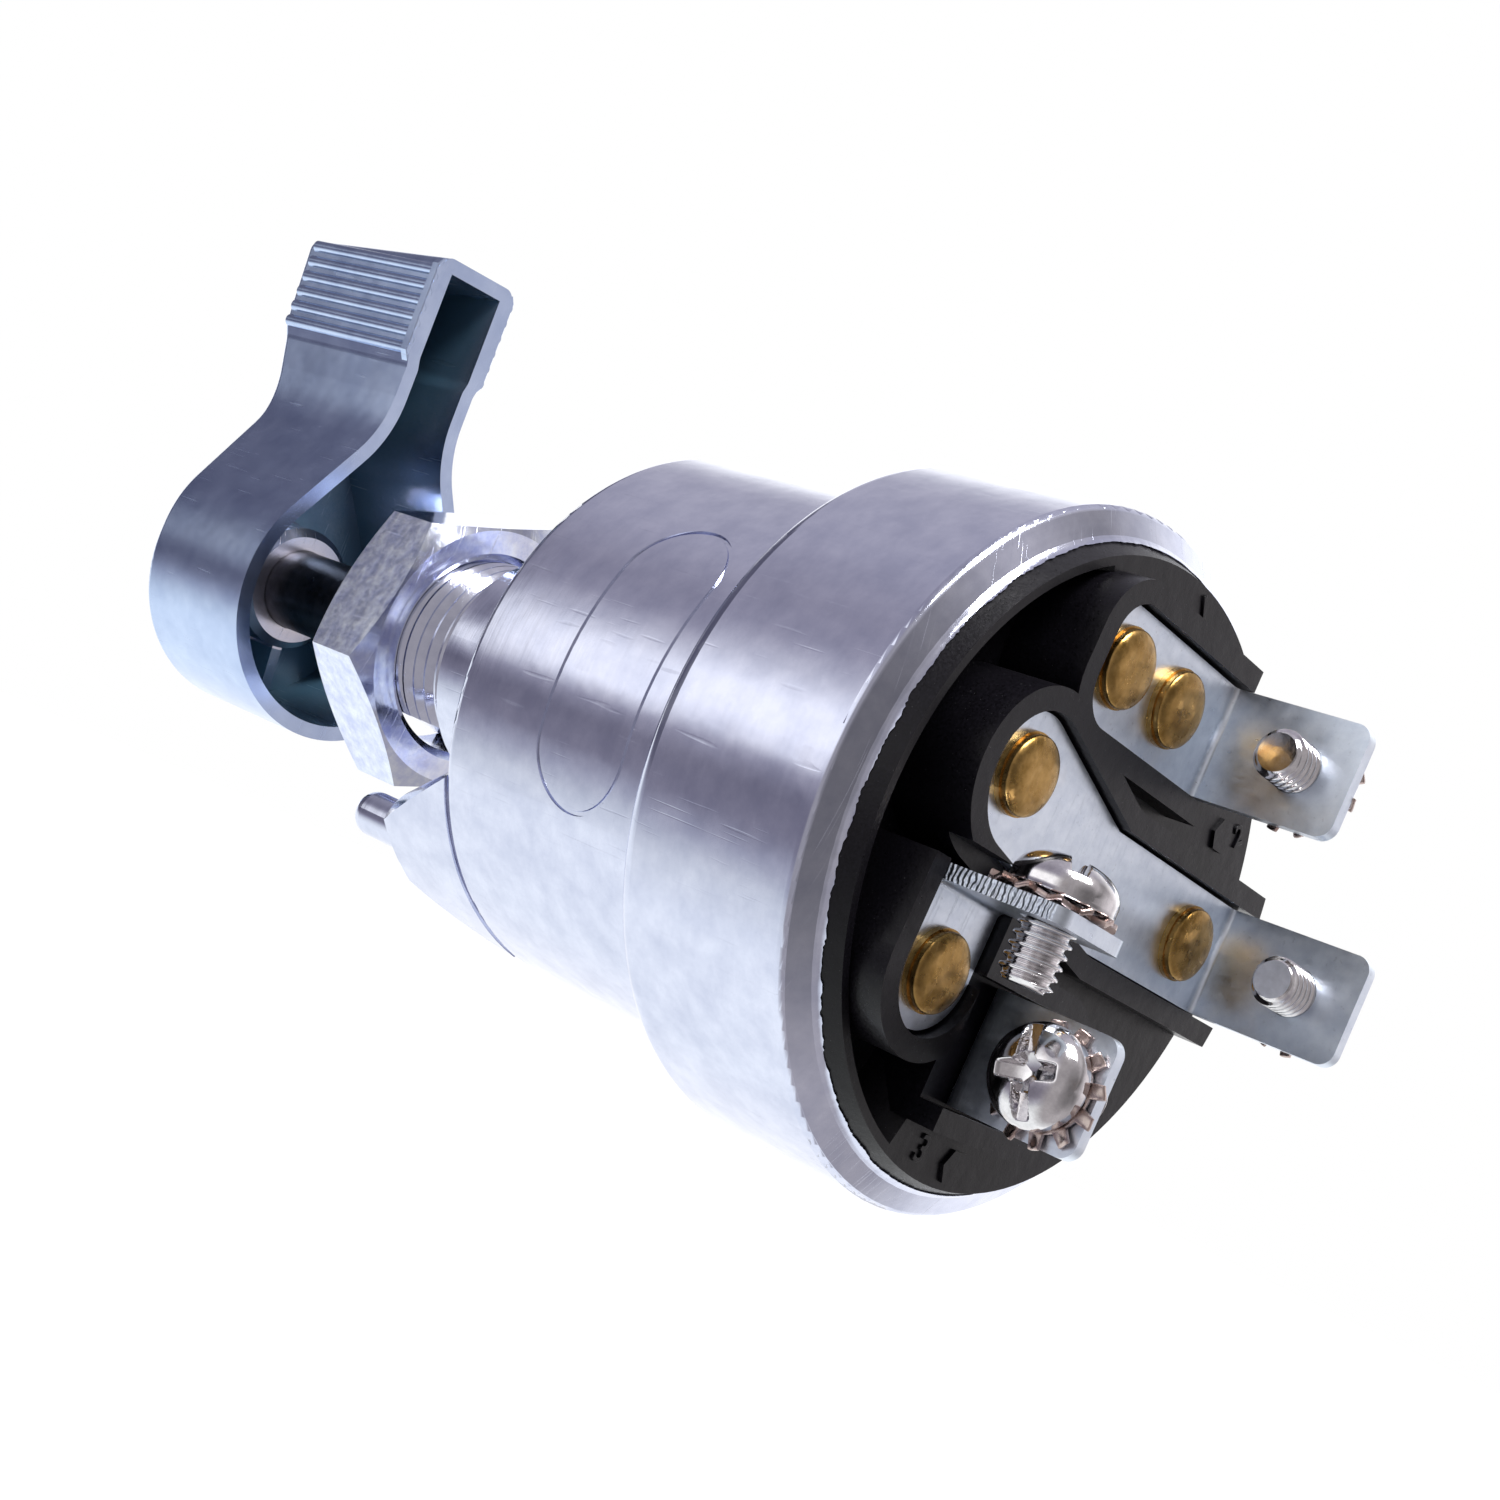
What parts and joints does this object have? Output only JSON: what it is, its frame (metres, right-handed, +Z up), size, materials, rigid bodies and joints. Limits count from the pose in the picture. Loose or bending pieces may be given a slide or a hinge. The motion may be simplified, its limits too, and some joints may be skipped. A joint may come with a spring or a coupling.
{
  "type": "ignition starter switch",
  "caption": "Lever-operated ignition starter switch with stepped cast housing, threaded mounting neck, index pin and screw terminals on a moulded base.",
  "frame": {"origin": "on the switch axis, in the plane of the small drum's front face, where the neck begins", "axes": "+Y along the switch axis from the lever to the terminals, +Z up through the lever's side of the axis, +X to the right seen from the lever; the lever at rest leans 6 degrees from +Z towards +X"},
  "size_m": [0.056, 0.1294, 0.065],
  "materials": {
    "zinc_casting": "bright bluish zinc plate, satin",
    "zinc_plated_nut": "bright zinc plate",
    "zinc_lever": "bright bluish zinc plate, satin",
    "phenolic": "black moulded phenolic, satin",
    "fibre_gasket": "dark fibre, matte",
    "dark_steel_shaft": "turned steel, darkened",
    "nitrile_seal": "black rubber",
    "moulded_rotor": "dark brown moulded phenolic",
    "copper_contact": "copper, satin",
    "bronze_thrust_washer": "bronze, satin",
    "plated_terminal": "bright zinc plate, satin",
    "brass_rivet": "tumbled brass",
    "nickel_screw": "bright nickel plate",
    "bronze_washer": "tarnished bronze",
    "spring_steel": "oiled spring steel",
    "ball_steel": "polished steel"
  },
  "bodies": {
    "case": {"housing": "zinc_casting", "mounting_nut": "zinc_plated_nut", "terminal_base": "phenolic", "base_gasket": "fibre_gasket", "terminal_1": "plated_terminal", "terminal_2": "plated_terminal", "terminal_3": "plated_terminal", "terminal_4": "plated_terminal", "rivet_1a": "brass_rivet", "rivet_1b": "brass_rivet", "rivet_2a": "brass_rivet", "rivet_2b": "brass_rivet", "rivet_3": "brass_rivet", "rivet_4": "brass_rivet", "terminal_screw_1": "nickel_screw", "terminal_screw_2": "nickel_screw", "terminal_screw_3": "nickel_screw", "terminal_screw_4": "nickel_screw", "star_washer_1": "bronze_washer", "star_washer_2": "bronze_washer", "star_washer_3": "bronze_washer", "star_washer_4": "bronze_washer", "thrust_washer": "bronze_thrust_washer", "return_spring": "spring_steel"},
    "turning": {"lever": "zinc_lever", "lever_screw": "nickel_screw", "shaft": "dark_steel_shaft", "shaft_seal": "nitrile_seal", "rotor": "moulded_rotor", "detent_ball_1": "ball_steel", "detent_ball_2": "ball_steel", "detent_spring_1": "spring_steel", "detent_spring_2": "spring_steel", "contact_plate": "copper_contact", "contact_spring": "spring_steel"}
  },
  "joints": [
    {"name": "lever_turn", "type": "hinge", "parent": "case", "child": "turning", "pos_m": [0, 0, 0], "axis": [0, 1, 0], "range_deg": [-35, 60]}
  ]
}
